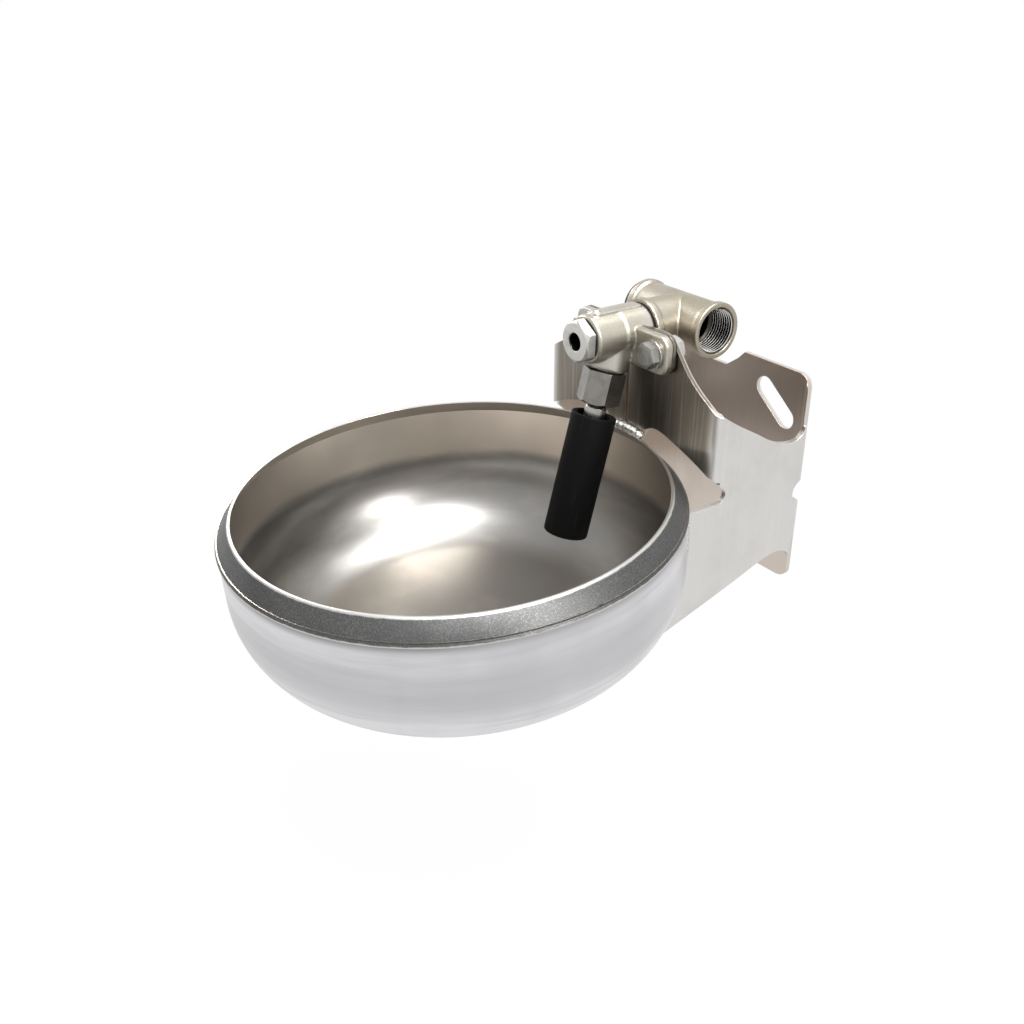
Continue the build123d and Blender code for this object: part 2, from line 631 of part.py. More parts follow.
with BuildPart() as valve_stem:
    with BuildSketch(spout_profile):
        with BuildLine():
            Polyline((0, -6), (3.4, -6), (3.4, -7.2), (6.6, -7.2), (6.6, -9), (1.6, -9), (1.6, -27.4),
                     (2.5, -28.1), (2.5, -30.1), (0, -30.1), close=True)
        make_face()
    revolve(axis=spout_axis)
valve_stem.part.label = "valve_stem"
export_step(valve_stem.part, "parts/valve_stem.step")

with BuildPart() as valve_spring:
    spring_base = spout_plane(6.6)
    with BuildLine(spring_base):
        coil = Helix(pitch=3.4, height=13.6, radius=4.6)
    with BuildSketch(Plane(origin=coil @ 0, z_dir=coil % 0)):
        Circle(0.55)
    sweep(path=coil, is_frenet=True)
valve_spring.part.label = "valve_spring"
export_step(valve_spring.part, "parts/valve_spring.step")

with BuildPart() as nut_seal:
    with BuildSketch(spout_plane(NUT_TOP)):
        Circle(10.6)
        Circle(SPIGOT_R + 0.05, mode=Mode.SUBTRACT)
    extrude(amount=NUT_TOP - BOSS_END)
nut_seal.part.label = "nut_seal"
export_step(nut_seal.part, "parts/nut_seal.step")

with BuildPart() as union_nut:
    with BuildSketch(spout_plane(NUT_END)):
        RegularPolygon(NUT_AF / 2, 6, major_radius=False, rotation=37)
    extrude(amount=NUT_END - NUT_TOP)
    with BuildSketch(spout_profile):
        with BuildLine():
            Polyline((0, -NUT_TOP), (12.3, -NUT_TOP), (12.9, -NUT_TOP - 1), (12.9, -NUT_END + 1.5),
                     (11.0, -NUT_END), (0, -NUT_END), close=True)
        make_face()
    revolve(axis=spout_axis, mode=Mode.INTERSECT)
    low_h = -4.5
    low_r = math.sqrt(SOCKET_R ** 2 - low_h ** 2)
    with BuildSketch(spout_profile):
        with BuildLine():
            Polyline((low_r, -PIVOT + low_h), (low_r, -NUT_END), (0, -NUT_END), (0, -NUT_TOP),
                     (9.0, -NUT_TOP), (9.0, -31.2), (SOCKET_R, -31.2), (SOCKET_R, -PIVOT))
            ThreePointArc((SOCKET_R, -PIVOT), (SOCKET_R * math.cos(0.3), -PIVOT - SOCKET_R * math.sin(0.3)),
                          (low_r, -PIVOT + low_h))
        make_face()
    revolve(axis=spout_axis, mode=Mode.SUBTRACT)
union_nut.part.label = "union_nut"
export_step(union_nut.part, "parts/union_nut.step")


def on_sphere(radius, height):
    return (math.sqrt(radius ** 2 - height ** 2), height - PIVOT)


with BuildPart() as swivel_ring:
    with BuildSketch(spout_profile):
        with BuildLine():
            Line(on_sphere(RING_IN_R, 2.5), on_sphere(RING_OUT_R, 2.5))
            ThreePointArc(on_sphere(RING_OUT_R, 2.5), on_sphere(RING_OUT_R, -1), on_sphere(RING_OUT_R, -4))
            Line(on_sphere(RING_OUT_R, -4), on_sphere(RING_IN_R, -4))
            ThreePointArc(on_sphere(RING_IN_R, -4), on_sphere(RING_IN_R, -1), on_sphere(RING_IN_R, 2.5))
        make_face()
    revolve(axis=spout_axis)
swivel_ring.part.label = "swivel_ring"
export_step(swivel_ring.part, "parts/swivel_ring.step")

with BuildPart() as tube:
    with BuildSketch(spout_profile):
        with BuildLine():
            Line((0, 4 - PIVOT), on_sphere(BALL_R, 4))
            ThreePointArc(on_sphere(BALL_R, 4), on_sphere(BALL_R, 0), on_sphere(BALL_R, -4.9))
            Polyline(on_sphere(BALL_R, -4.9), (4.8, -PIVOT - 5), (4.8, -41), (NECK_R, -43), (NECK_R, -57.5),
                     (SLEEVE_BORE_R, -60.5), (SLEEVE_BORE_R, -110), (8.4, -111), (8.0, -111), (8.0, -60.5),
                     (3.6, -58), (3.6, -PIVOT - 1), (0, -PIVOT - 1), (0, 4 - PIVOT))
        make_face()
    revolve(axis=spout_axis)
    with BuildSketch(spout_plane(PIVOT - 4)):
        with PolarLocations(3.75, 4, 45):
            Circle(1.05)
    extrude(amount=-6, mode=Mode.SUBTRACT)
tube.part.label = "tube"
export_step(tube.part, "parts/tube.step")

with BuildPart() as sleeve:
    with BuildSketch(spout_profile):
        with BuildLine():
            Polyline((SLEEVE_BORE_R, -SLEEVE_TOP - 0.6), (SLEEVE_BORE_R + 0.6, -SLEEVE_TOP),
                     (SLEEVE_R - 0.6, -SLEEVE_TOP), (SLEEVE_R, -SLEEVE_TOP - 0.6),
                     (SLEEVE_R, -SLEEVE_END + 0.8), (SLEEVE_R - 0.8, -SLEEVE_END),
                     (SLEEVE_BORE_R + 0.4, -SLEEVE_END),
                     (SLEEVE_BORE_R, -SLEEVE_END + 0.4), close=True)
        make_face()
    revolve(axis=spout_axis)
sleeve.part.label = "sleeve"
export_step(sleeve.part, "parts/sleeve.step")
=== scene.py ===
"""Dresses a wall-mounted livestock drinking bowl: spun dish, rim band, folded bracket, cast valve, sleeve."""

import math
from functools import cached_property

import bmesh
import bpy
from bpy.props import FloatProperty, FloatVectorProperty, IntProperty, PointerProperty
from mathutils import Matrix, Vector


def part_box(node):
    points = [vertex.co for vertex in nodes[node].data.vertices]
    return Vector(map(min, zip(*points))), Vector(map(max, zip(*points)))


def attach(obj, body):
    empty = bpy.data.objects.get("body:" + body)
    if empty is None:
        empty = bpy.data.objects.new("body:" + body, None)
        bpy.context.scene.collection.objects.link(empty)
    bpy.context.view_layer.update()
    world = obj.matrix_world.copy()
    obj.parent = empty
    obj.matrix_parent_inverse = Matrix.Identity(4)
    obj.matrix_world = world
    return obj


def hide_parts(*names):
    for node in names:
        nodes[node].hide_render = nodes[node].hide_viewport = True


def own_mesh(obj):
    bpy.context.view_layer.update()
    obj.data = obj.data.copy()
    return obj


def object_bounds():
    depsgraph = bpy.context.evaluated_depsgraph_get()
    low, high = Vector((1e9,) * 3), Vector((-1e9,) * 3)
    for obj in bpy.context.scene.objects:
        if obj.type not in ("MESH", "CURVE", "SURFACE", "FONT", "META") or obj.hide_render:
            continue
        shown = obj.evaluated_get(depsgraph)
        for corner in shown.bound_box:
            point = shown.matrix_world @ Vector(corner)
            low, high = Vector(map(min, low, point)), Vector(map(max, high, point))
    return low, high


bl_info = {
    "name": "Livestock drinking bowl",
    "version": (1, 0, 0),
    "blender": (4, 5, 0),
    "location": "View3D > Sidebar > Drinking bowl",
    "description": "Finished pieces, metals and rubber over the packed drinking bowl",
    "category": "Object",
}

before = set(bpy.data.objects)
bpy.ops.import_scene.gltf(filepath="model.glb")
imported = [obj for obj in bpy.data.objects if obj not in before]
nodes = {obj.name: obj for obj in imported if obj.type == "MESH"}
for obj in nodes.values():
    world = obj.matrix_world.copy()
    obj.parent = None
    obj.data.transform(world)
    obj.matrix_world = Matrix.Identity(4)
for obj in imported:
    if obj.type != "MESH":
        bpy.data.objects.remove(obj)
cad_low, cad_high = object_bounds()

MM = 0.001
SHARP = math.radians(38)
SAME_POINT = 1e-6
FULL_TURN = 2 * math.pi


# ---------------------------------------------------------------- places


def at(x, y, z):
    """A place moved by millimetres, unturned."""
    return Matrix.Translation(Vector((x, y, z)) * MM)


def turn(degrees, axis):
    return Matrix.Rotation(math.radians(degrees), 4, axis)


HOUSING_Z = 86.5
BOWL = at(0, -195, 19) @ turn(4, "X")
SPOUT = at(0, -86, HOUSING_Z) @ turn(-15, "X")
HOUSING = at(0, 0, HOUSING_Z) @ turn(-90, "X")
TEE = at(0, -37, HOUSING_Z) @ turn(90, "Y")

# Bowl profile, millimetres from its axis and below the rim's top edge
CORNER_R = 53.4
CORNER_AT = (71.9, -38.0)
DISH_R = 530.0
WALL_TOP = (125.4, -8.6)
SHEET = 2.0
RIM_TOP_R = 118.0
RIM_LOW = (126.3, -10.5)

# Bracket, millimetres: half its width, and how far its wings stand off the wall
HALF_WIDTH = 74.0
WING_DEPTH = 74.0

# Pipe thread in the tee, millimetres
THREAD_PITCH = 1.814
THREAD_LONG = 15.4
THREAD_ROOT_R = 13.4
THREAD_CREST_R = 12.05
# Radius inside which the thread's crests get a painted highlight.
THREAD_HIGHLIGHT_R = 12.38
TEE_MOUTH = 29.6

# Flange bolts, millimetres
BOLT_AT = (28.5, 5)
BOLT_AF = 13
BOLT_R = 4
BOLT_CORE_R = 3.3
BOLT_CREST_R = 3.98
BOLT_PITCH = 1.25
NUT_BORE_R = 4.05

# Start and end of each painted change of light in the bowl's and the band's colours, in metres above the
# rim's top edge: painted shade below the crease and a painted reflection above it, a ring of painted shade
# outside, a painted shadow under the band, and painted highlights on the band's two edges.
# The shade ring's head and the band's lower highlight count downwards from it.
CREASE = (-0.043, -0.034)
SHADE_BELT_FOOT = (-0.062, -0.046)
SHADE_BELT_HEAD = (0.020, 0.034)
BAND_SHADOW = (-0.0170, -0.0110)
BAND_TOP_HIGHLIGHT = (-0.0010, -0.0003)
BAND_LOW_HIGHLIGHT = (0.0101, 0.0107)

# Stage, metres and watts: each lamp's place, width and power
TARGET = Vector((0, -0.19, -0.03))
LAMPS = {"key_lamp": ((0.50, -0.34, 1.17), 0.66, 27.0),
         "side_lamp": ((1.05, -0.03, 0.66), 0.34, 7.0),
         "left_lamp": ((-1.13, -0.19, 0.60), 0.50, 6.0),
         "top_lamp": ((0.08, 0.20, 1.62), 0.85, 20.0)}
SKY_LIGHT = 0.55
FLOOR_HALF = 6.0
FLOOR_DROP = 0.16
FLOOR_SHADOW = 0.045
SHADOW_REACH = (0.30, 0.60)

dish_centre = CORNER_AT[1] + math.sqrt((DISH_R - CORNER_R) ** 2 - CORNER_AT[0] ** 2)
dish_turn = -90 + math.degrees(math.asin(CORNER_AT[0] / (DISH_R - CORNER_R)))


def arc(centre, radius, start, end, count):
    """Points along an arc, both ends included; angles in degrees."""
    angles = [math.radians(start + (end - start) * i / (count - 1)) for i in range(count)]
    return [(centre[0] + radius * math.cos(a), centre[1] + radius * math.sin(a)) for a in angles]


def bowl_radius(drop):
    """Outer radius of the bowl's wall at a depth below the rim."""
    if drop > CORNER_AT[1]:
        share = (drop - CORNER_AT[1]) / (WALL_TOP[1] - CORNER_AT[1])
        return CORNER_AT[0] + CORNER_R + share * (WALL_TOP[0] - CORNER_AT[0] - CORNER_R)
    return CORNER_AT[0] + math.sqrt(CORNER_R**2 - (drop - CORNER_AT[1]) ** 2)


# ---------------------------------------------------------------- shader maths


class Wire:
    """A shader output that takes part in sums: each operator adds its Math node."""

    def __init__(self, finish, socket):
        self.finish = finish
        self.socket = socket

    def maths(self, operation, first, second=0.0):
        return self.finish.node("ShaderNodeMath", {"operation": operation}, {0: first, 1: second})

    def __add__(self, other):
        return self.maths("ADD", self, other)

    __radd__ = __add__

    def __mul__(self, other):
        return self.maths("MULTIPLY", self, other)

    __rmul__ = __mul__

    def __sub__(self, other):
        return self.maths("SUBTRACT", self, other)

    def __rsub__(self, other):
        return self.maths("SUBTRACT", other, self)

    def __abs__(self):
        return self.maths("ABSOLUTE", self)

    def larger(self, other):
        return self.maths("MAXIMUM", self, other)

    def above(self, low, high):
        """0 below low, 1 above high, and a smooth step between them."""
        inputs = {"Value": self, "From Min": low, "From Max": high}
        return self.finish.node("ShaderNodeMapRange", {"interpolation_type": "SMOOTHSTEP"}, inputs)


class Finish:
    """The node tree of a new material, or of a new world where kind says "worlds".

    node() adds any node from its kind, its settings and what its inputs take.
    """

    def __init__(self, name, kind="materials"):
        self.owner = getattr(bpy.data, kind).new(name)
        self.owner.use_nodes = True
        self.tree = self.owner.node_tree
        self.tree.nodes.clear()

    @cached_property
    def here(self):
        """Object coordinates."""
        return self.node("ShaderNodeTexCoord", output="Object")

    def node(self, kind, settings=None, inputs=None, output=0):
        made = self.tree.nodes.new(kind)
        for key, value in (settings or {}).items():
            setattr(made, key, value)
        for key, value in (inputs or {}).items():
            if isinstance(value, Wire):
                self.tree.links.new(value.socket, made.inputs[key])
            else:
                made.inputs[key].default_value = value
        return Wire(self, made.outputs[output]) if len(made.outputs) else made

    def local(self, place):
        """Coordinates in a place's own axes."""
        inputs = {"Vector": self.here, "Location": place.to_translation(), "Rotation": place.to_euler()}
        return self.node("ShaderNodeMapping", {"vector_type": "TEXTURE"}, inputs)

    def stretched(self, vector, scale):
        return self.node("ShaderNodeVectorMath", {"operation": "MULTIPLY"}, {0: vector, 1: scale})

    def axis_values(self, vector):
        """Radius from Z and height along Z, in metres."""
        flat = self.stretched(vector, (1, 1, 0))
        radius = self.node("ShaderNodeVectorMath", {"operation": "LENGTH"}, {0: flat}, "Value")
        height = self.node("ShaderNodeSeparateXYZ", None, {0: vector}, "Z")
        return radius, height

    def noise(self, vector, scale, detail, roughness=0.55, distortion=0.0):
        inputs = {"Vector": vector, "Scale": scale, "Detail": detail, "Roughness": roughness,
                  "Distortion": distortion}
        return self.node("ShaderNodeTexNoise", None, inputs)

    def lathe_lines(self, vector, fineness):
        """Fine lines round the Z axis, broken up as they go round."""
        radius, height = self.axis_values(vector)
        round_about = self.node("ShaderNodeVectorMath", {"operation": "NORMALIZE"},
                                {0: self.stretched(vector, (1, 1, 0))})
        line = (radius + height * 0.9) * fineness
        place = self.node("ShaderNodeCombineXYZ", None, {"Z": line})
        mixed = self.node("ShaderNodeVectorMath", {"operation": "MULTIPLY_ADD"},
                          {0: round_about, 1: (2.2, 2.2, 0), 2: place})
        return self.noise(mixed, 1.0, 3.0, 0.6)

    def colour_mix(self, mask, first, second):
        settings = {"data_type": "RGBA", "blend_type": "MIX"}
        return self.node("ShaderNodeMix", settings, {0: mask, 6: solid(first), 7: solid(second)}, 2)

    def bump(self, height, strength, distance, after=None):
        inputs = {"Height": height, "Strength": strength, "Distance": distance}
        if after:
            inputs["Normal"] = after
        return self.node("ShaderNodeBump", None, inputs, "Normal")

    def looked_at(self):
        """1 where the camera, a reflection or a refraction looks, and 0 where light is gathered."""
        rays = [self.node("ShaderNodeLightPath", None, None, name)
                for name in ("Is Camera Ray", "Is Glossy Ray", "Is Transmission Ray")]
        return rays[0].larger(rays[1]).larger(rays[2])

    def surface(self, **inputs):
        """Ends the tree with one Principled shader; names use _ for spaces."""
        named = {key.replace("_", " "): value for key, value in inputs.items()}
        shader = self.node("ShaderNodeBsdfPrincipled", None, named)
        self.node("ShaderNodeOutputMaterial", None, {"Surface": shader})
        return self.owner


def solid(colour):
    """A colour input: a wire as it is, or three numbers with full alpha."""
    return colour if isinstance(colour, Wire) else (*colour, 1.0)


def tinted(colour, factor):
    """A colour made lighter or darker; factor is one number, or three for the channels."""
    factors = factor if isinstance(factor, tuple) else (factor,) * 3
    return tuple(min(1.0, channel * share) for channel, share in zip(colour, factors))


# ---------------------------------------------------------------- finishes


def dish_steel(dish_shade, warm_reflection, rough):
    """Spun satin steel inside the bowl: darkened in the dish as painted shade, and a warmer, paler painted
    reflection on the wall above the crease.
    """
    f = Finish("satin_dish_steel")
    vector = f.local(BOWL)
    _radius, height = f.axis_values(vector)
    lines = f.lathe_lines(vector, 900)
    cloud = f.noise(vector, 9.0, 3.0)
    smear = f.noise(f.stretched(vector, (14, 14, 60)), 1.0, 4.0)
    ragged = (smear - 0.5) * 0.006
    # Painted shade: the dish below the crease is darkened; painted reflection: the wall above it is warm and
    # pale.
    body = f.colour_mix((height + ragged).above(*CREASE), dish_shade, warm_reflection)
    toned = f.colour_mix(cloud.above(0.40, 0.66) * 0.25, body, tinted(dish_shade, 0.66))
    colour = f.colour_mix(smear.above(0.46, 0.70) * 0.10, toned, tinted(warm_reflection, 1.2))
    roughness = rough + (lines - 0.5) * 0.10 + (cloud - 0.5) * 0.06
    normal = f.bump(lines, 0.10, 0.00012, f.bump(cloud, 0.03, 0.0010))
    return f.surface(Base_Color=colour, Metallic=1.0, Roughness=roughness, Normal=normal)


def shell_steel(colour, rough):
    """The same steel outside, paler, with a painted shadow under the band and a faint ring of painted shade
    where the wall turns under.
    """
    f = Finish("satin_shell_steel")
    vector = f.local(BOWL)
    _radius, height = f.axis_values(vector)
    lines = f.lathe_lines(vector, 900)
    cloud = f.noise(vector, 11.0, 3.0)
    streak = f.noise(f.stretched(vector, (9, 9, 150)), 1.0, 4.0, 0.6)
    # Painted shade in a faint ring where the wall turns under, and a painted shadow under the band's
    # overhang.
    shade_belt = height.above(*SHADE_BELT_FOOT) * (0.0 - height).above(*SHADE_BELT_HEAD)
    band_shadow = height.above(*BAND_SHADOW)
    belt_shaded = f.colour_mix(shade_belt * 0.6, colour, tinted(colour, 0.68))
    toned = f.colour_mix(band_shadow, belt_shaded, tinted(colour, 0.40))
    brushed = f.colour_mix(streak.above(0.42, 0.66) * 0.5, toned, tinted(colour, 0.70))
    shade = f.colour_mix(cloud.above(0.44, 0.64) * 0.5, brushed, tinted(colour, 0.72))
    roughness = rough + (lines - 0.5) * 0.10 + (cloud - 0.5) * 0.10
    normal = f.bump(lines, 0.10, 0.00012, f.bump(cloud, 0.05, 0.0010))
    return f.surface(Base_Color=shade, Metallic=1.0, Roughness=roughness, Normal=normal)


def band_steel(colour, edge, warm_reflection, rough):
    """Ground rim band: dark and grainy, with painted highlights along its two edges and a painted warm
    reflection on its inner face.
    """
    f = Finish("ground_band_steel")
    vector = f.local(BOWL)
    radius, height = f.axis_values(vector)
    grain = f.noise(vector, 1500.0, 3.0, 0.7)
    lines = f.lathe_lines(vector, 1500)
    cloud = f.noise(vector, 16.0, 3.0)
    ragged = f.noise(vector, 260.0, 3.0)
    wobble = (ragged - 0.5) * 0.0007
    # Painted highlights: the band's top and lower edges are made pale where they catch the light.
    top = (height + wobble).above(*BAND_TOP_HIGHLIGHT)
    low = (0.0 - (height + wobble)).above(*BAND_LOW_HIGHLIGHT)
    lip, slope, fade = 0.0012, 0.84, 0.0003
    inner = (RIM_TOP_R * MM - lip - radius - height * slope).above(-fade, fade)
    speckle = f.colour_mix(grain.above(0.46, 0.64) * 0.6, colour, tinted(colour, 2.3))
    toned = f.colour_mix(cloud.above(0.40, 0.64) * 0.5, speckle, tinted(colour, 0.7))
    bright = top.larger(low)
    shade = f.colour_mix(bright * 0.85, toned, edge)
    # Painted reflection: the inner face takes the pale warm colour reflected from inside the bowl.
    final = f.colour_mix(inner, shade, warm_reflection)
    roughness = rough + (lines - 0.5) * 0.18 - bright * 0.12
    normal = f.bump(grain, 0.22, 0.00012, f.bump(lines, 0.16, 0.00012))
    return f.surface(Base_Color=final, Metallic=1.0, Roughness=roughness, Normal=normal)


def sheet_steel(outer, inner, wing_shade, rough):
    """Rolled sheet with faint upright drag lines: pale outside, browner inside as painted shade, and dark on
    the front wings as painted shade.
    """
    f = Finish("rolled_sheet_steel")
    drag = f.noise(f.stretched(f.here, (700, 700, 16)), 1.0, 4.0, 0.6)
    cloud = f.noise(f.here, 24.0, 4.0, 0.6)
    across, deep = (f.node("ShaderNodeSeparateXYZ", None, {0: f.here}, name) for name in "XY")
    skin, fade = 0.0012, 0.0006
    side_gap = (HALF_WIDTH * MM - skin) - abs(across)
    front_gap = deep + (WING_DEPTH * MM - skin)
    back_gap = -skin - deep
    # Painted shade: the inside faces of the bracket are browner and darker.
    inside_shade = side_gap.above(0, fade) * front_gap.above(0, fade) * back_gap.above(0, fade)
    sides = f.colour_mix(inside_shade, outer, inner)
    wing_face, wing_half = -0.0715, 0.0690
    # Painted shade: the front faces of the two wings are made dark.
    front = (wing_face - deep).above(0, 0.0008) * (wing_half - abs(across)).above(-0.0030, 0.0050)
    base = f.colour_mix(front, sides, wing_shade)
    colour = f.colour_mix(cloud.above(0.44, 0.68) * 0.14, base, tinted(wing_shade, 1.6))
    streaked = f.colour_mix(drag.above(0.50, 0.72) * 0.16, colour, tinted(outer, 1.25))
    roughness = rough + (drag - 0.5) * 0.12 + (cloud - 0.5) * 0.10
    normal = f.bump(drag, 0.08, 0.00010, f.bump(cloud, 0.05, 0.0008))
    return f.surface(Base_Color=streaked, Metallic=1.0, Roughness=roughness, Normal=normal)


def cast_steel(colour, rough):
    """Blasted investment casting: fine peened grain over soft waves, with painted shade down inside the tee's
    bore.
    """
    f = Finish("blasted_cast_steel")
    grain = f.noise(f.here, 1900.0, 3.0, 0.65)
    waves = f.noise(f.here, 140.0, 3.0)
    cloud = f.noise(f.here, 30.0, 3.0)
    run_radius, _along = f.axis_values(f.local(TEE))
    # Painted shade: darker inside the tee's bore.
    bore = (THREAD_ROOT_R * MM - run_radius).above(0, 0.0002)
    toned = f.colour_mix(cloud.above(0.40, 0.62) * 0.6, colour, tinted(colour, (0.78, 0.74, 0.62)))
    dotted = f.colour_mix(grain.above(0.46, 0.66) * 0.4, toned, tinted(colour, 1.4))
    shade = f.colour_mix(bore, dotted, tinted(colour, 0.16))
    roughness = rough + (grain - 0.5) * 0.14
    normal = f.bump(grain, 0.36, 0.00012, f.bump(waves, 0.14, 0.0005))
    return f.surface(Base_Color=shade, Metallic=1.0, Roughness=roughness, Normal=normal)


def machined_steel(name, place, colour, rough, grain_strength=0.0, bore=0.0):
    """Turned or milled steel with tool lines round its own axis."""
    f = Finish(name)
    vector = f.local(place)
    lines = f.lathe_lines(vector, 2600)
    cloud = f.noise(vector, 90.0, 3.0)
    grain = f.noise(vector, 1300.0, 4.0, 0.7)
    toned = f.colour_mix(cloud.above(0.42, 0.64) * 0.6, colour, tinted(colour, 0.62))
    shade = f.colour_mix(lines.above(0.50, 0.72) * 0.3, toned, tinted(colour, 1.3))
    # Painted shade: darker inside the given bore radius round the axis.
    if bore:
        radius, _height = f.axis_values(vector)
        shade = f.colour_mix((bore * MM - radius).above(0, 0.0002), shade, tinted(colour, 0.10))
    roughness = rough + (lines - 0.5) * 0.16 + (grain - 0.5) * 0.10
    normal = f.bump(lines, 0.14, 0.00012)
    if grain_strength:
        normal = f.bump(grain, grain_strength, 0.0004, normal)
    return f.surface(Base_Color=shade, Metallic=1.0, Roughness=roughness, Normal=normal)


def thread_steel(crest, flank, rough):
    """A cut thread with a painted highlight along its crests and painted shade down its flanks."""
    f = Finish("cut_thread_steel")
    vector = f.local(TEE)
    radius, _height = f.axis_values(vector)
    chatter = f.noise(vector, 700.0, 3.0)
    # Painted highlight on the crests, painted shade on the flanks.
    crest_highlight = (THREAD_HIGHLIGHT_R * MM - radius + (chatter - 0.5) * 0.0003).above(-0.0002, 0.0002)
    shade = f.colour_mix(crest_highlight, flank, crest)
    roughness = rough + (chatter - 0.5) * 0.15
    return f.surface(Base_Color=shade, Metallic=1.0, Roughness=roughness, Normal=f.bump(chatter, 0.2, 0.0001))


def weld_steel(colour, rough):
    """Weld metal: bright, straw tinted, with sharp ripples."""
    f = Finish("weld_bead_steel")
    ripple = f.noise(f.here, 900.0, 4.0, 0.7, 0.6)
    tint = f.noise(f.here, 230.0, 3.0)
    straw = f.colour_mix(tint.above(0.50, 0.70) * 0.4, colour, (0.62, 0.57, 0.47))
    shade = f.colour_mix(ripple.above(0.60, 0.40) * 0.6, straw, (0.30, 0.27, 0.22))
    roughness = rough + (ripple - 0.5) * 0.25
    normal = f.bump(ripple, 0.7, 0.0006)
    return f.surface(Base_Color=shade, Metallic=1.0, Roughness=roughness, Normal=normal)


def black_rubber(name, place, colour, rough):
    """Moulded rubber: a fine matt grain with faint scuffs along its length."""
    f = Finish(name)
    vector = f.local(place)
    grain = f.noise(vector, 2600.0, 3.0, 0.7)
    scuff = f.noise(f.stretched(vector, (420, 420, 30)), 1.0, 4.0, 0.65)
    shade = f.colour_mix(scuff.above(0.55, 0.75) * 0.5, colour, (0.009, 0.009, 0.009))
    roughness = rough + (grain - 0.5) * 0.16 + (scuff - 0.5) * 0.16
    normal = f.bump(grain, 0.16, 0.00008)
    return f.surface(Base_Color=shade, Roughness=roughness, Normal=normal, Specular_IOR_Level=0.07)


def moulded_plastic(name, colour, rough):
    """Plain moulded plastic with a slight orange-peel skin."""
    f = Finish(name)
    skin = f.noise(f.here, 500.0, 2.0)
    cloud = f.noise(f.here, 60.0, 3.0)
    shade = f.colour_mix((cloud - 0.4) * 0.6, colour, tinted(colour, 0.8))
    roughness = rough + (skin - 0.5) * 0.15
    return f.surface(Base_Color=shade, Roughness=roughness, Normal=f.bump(skin, 0.1, 0.0002))


# ---------------------------------------------------------------- shapes


def outline(bm, points, closed=True):
    """A wire of edges through (radius, height) points in the XZ plane."""
    corners = [bm.verts.new((r * MM, 0, z * MM)) for r, z in points]
    for pair in zip(corners, corners[1:] + corners[:1] if closed else corners[1:]):
        bm.edges.new(pair)
    return corners


def turned(points, steps, rounds=(), closed=True):
    """A shape spun round Z from (radius, height) points, all in millimetres.

    rounds holds (point numbers, size) for the corners that are rounded before the spin.
    """
    bm = bmesh.new()
    corners = outline(bm, points, closed)
    for numbers, size in rounds:
        bmesh.ops.bevel(bm, geom=[corners[n] for n in numbers], offset=size * MM, offset_type="OFFSET",
                        affect="VERTICES", segments=3, profile=0.5, material=-1, clamp_overlap=True)
    bmesh.ops.spin(bm, geom=bm.verts[:] + bm.edges[:], cent=(0, 0, 0), axis=(0, 0, 1), angle=FULL_TURN,
                   steps=steps, use_merge=True)
    bmesh.ops.remove_doubles(bm, verts=bm.verts, dist=SAME_POINT)
    bmesh.ops.recalc_face_normals(bm, faces=bm.faces)
    return bm


def ridge(radius, crest, pitch, turns, steps=36, width=0.9, flat=0.12):
    """A screw thread's ridge wound up Z from z 0, from its root at radius to its crest, in millimetres.

    width and flat are the shares of the pitch that its root and its crest take up.
    """
    bm = bmesh.new()
    root, tip = pitch * width / 2, pitch * flat / 2
    face = bm.faces.new(outline(bm, [(radius, -root), (crest, -tip), (crest, tip), (radius, root)]))
    bmesh.ops.spin(bm, geom=[face], cent=(0, 0, 0), axis=(0, 0, 1), dvec=(0, 0, pitch * MM / steps),
                   angle=FULL_TURN * turns, steps=int(steps * turns), use_merge=False)
    bmesh.ops.recalc_face_normals(bm, faces=bm.faces)
    return bm


def hex_block(across, height, bore=0.0, top_cut=True):
    """A six-sided block from z 0 to height.

    A 30 degree cone cuts its corners back at the bottom, and at the top as well if top_cut says so.
    """
    flat, land, steps = across / 2, across * 0.475, 8
    slope = math.tan(math.radians(30))
    bm = bmesh.new()
    bmesh.ops.create_circle(bm, segments=6 * steps, radius=1.0)

    def set_ring(corners, kind, z):
        for corner in corners:
            angle = math.atan2(corner.co.y, corner.co.x)
            six = flat / math.cos(angle % (math.pi / 3) - math.pi / 6)
            drop = (six - land) * slope
            size = {"land": land, "bore": bore, "low": six, "top": six}[kind]
            lift = {"low": drop, "top": -drop if top_cut else 0.0}.get(kind, 0.0)
            corner.co = Vector((size * math.cos(angle), size * math.sin(angle), z + lift)) * MM

    levels = [("land", 0.0), ("low", 0.0), ("top", height), ("land", height)]
    if bore:
        levels = [("bore", 0.0)] + levels + [("bore", height)]
    set_ring(bm.verts, *levels[0])
    ring = bm.edges[:]
    first = ring
    for level in levels[1:]:
        made = bmesh.ops.extrude_edge_only(bm, edges=ring)["geom"]
        ring = [item for item in made if isinstance(item, bmesh.types.BMEdge)
                and all(end in made for end in item.verts)]
        set_ring([item for item in made if isinstance(item, bmesh.types.BMVert)], *level)
    if bore:
        bmesh.ops.bridge_loops(bm, edges=first + ring)
    else:
        bmesh.ops.holes_fill(bm, edges=first + ring, sides=0)
    bmesh.ops.remove_doubles(bm, verts=bm.verts, dist=SAME_POINT)
    bmesh.ops.recalc_face_normals(bm, faces=bm.faces)
    return bm


def copied(node, flat_angle=0.25, merge=2e-6):
    """A bmesh of a CAD node with its triangles joined up and its flat faces made whole."""
    bm = bmesh.new()
    bm.from_mesh(nodes[node].data)
    bmesh.ops.remove_doubles(bm, verts=bm.verts, dist=merge)
    bmesh.ops.dissolve_degenerate(bm, edges=bm.edges, dist=merge)
    bmesh.ops.dissolve_limit(bm, angle_limit=math.radians(flat_angle), verts=bm.verts, edges=bm.edges)
    return bm


